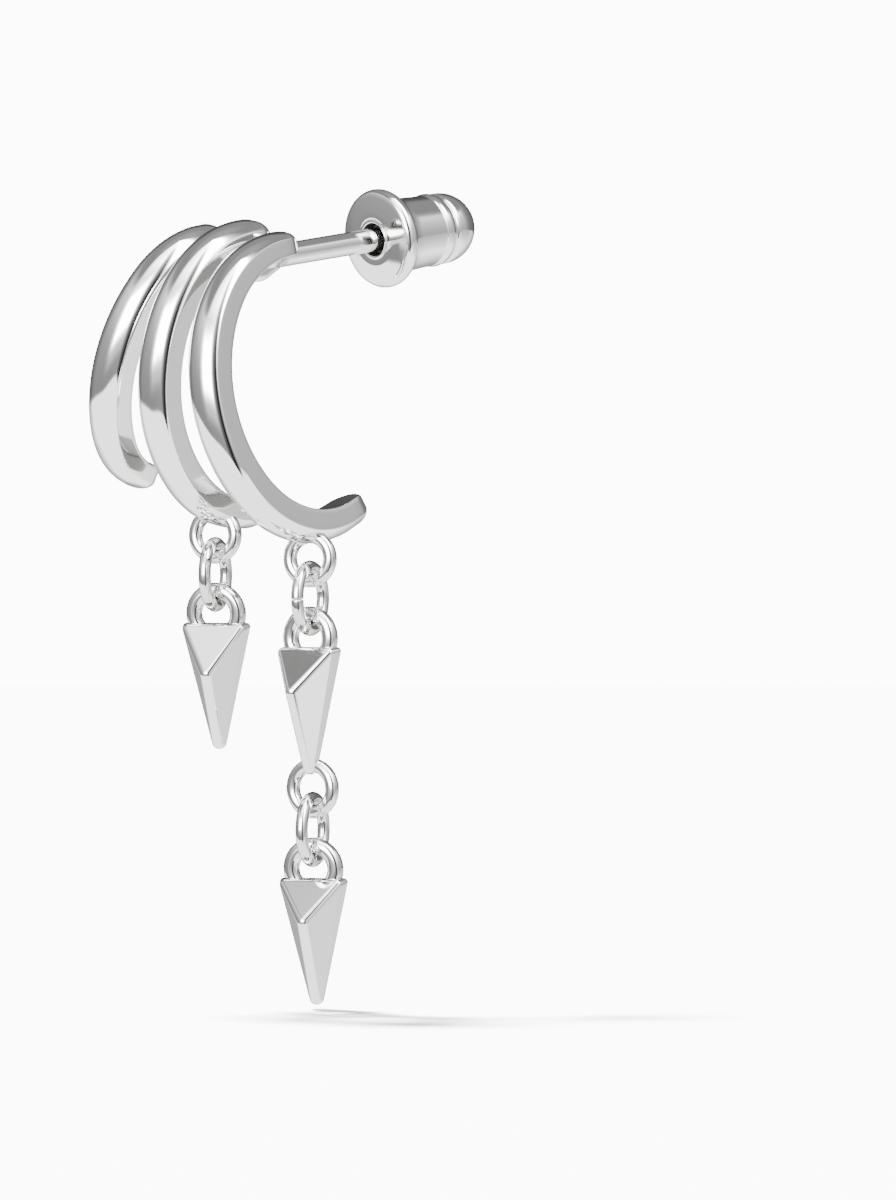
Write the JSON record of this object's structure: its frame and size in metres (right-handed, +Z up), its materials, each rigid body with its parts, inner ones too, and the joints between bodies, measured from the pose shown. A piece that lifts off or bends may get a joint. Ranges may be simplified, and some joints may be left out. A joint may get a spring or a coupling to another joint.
{
  "type": "huggie earring",
  "caption": "Earring of fanned half-round bands on an ear post with a push-on bullet back, and strands of pointed spikes on jump rings that hang free.",
  "frame": {"origin": "on the ear post's axis, at the middle of the stretch that passes through the ear lobe", "axes": "+Z up as the earring hangs, -Y the front of the hoop, +Y the back where the clutch is, +X the side with the longer strand"},
  "size_m": [0.0105, 0.0166, 0.0326],
  "materials": {
    "hoop_silver": "mirror polish",
    "clutch_silver": "mirror polish",
    "ring_silver": "mirror polish",
    "spike_silver": "mirror polish"
  },
  "bodies": {
    "hoop": {"triple_hoop": "hoop_silver"},
    "clutch": {"ear_clutch": "clutch_silver"},
    "long_strand": {"upper_jump_ring": "ring_silver", "upper_spike": "spike_silver", "lower_jump_ring": "ring_silver", "lower_spike": "spike_silver"},
    "short_strand": {"middle_jump_ring": "ring_silver", "middle_spike": "spike_silver"}
  },
  "joints": [
    {"name": "clutch_slide", "type": "slide", "parent": "hoop", "child": "clutch", "axis": [0, 0.989, 0.1478], "range_m": [-0.0015, 0.009]},
    {"name": "long_strand_swing", "type": "hinge", "parent": "hoop", "child": "long_strand", "pos_m": [0.00268, -0.00285, -0.01328], "axis": [0.9272, 0.3746, 0], "range_deg": [-35, 35]},
    {"name": "short_strand_swing", "type": "hinge", "parent": "hoop", "child": "short_strand", "pos_m": [-0.0018, -0.0039, -0.01232], "axis": [0.9272, 0.3746, 0], "range_deg": [-35, 35]}
  ]
}
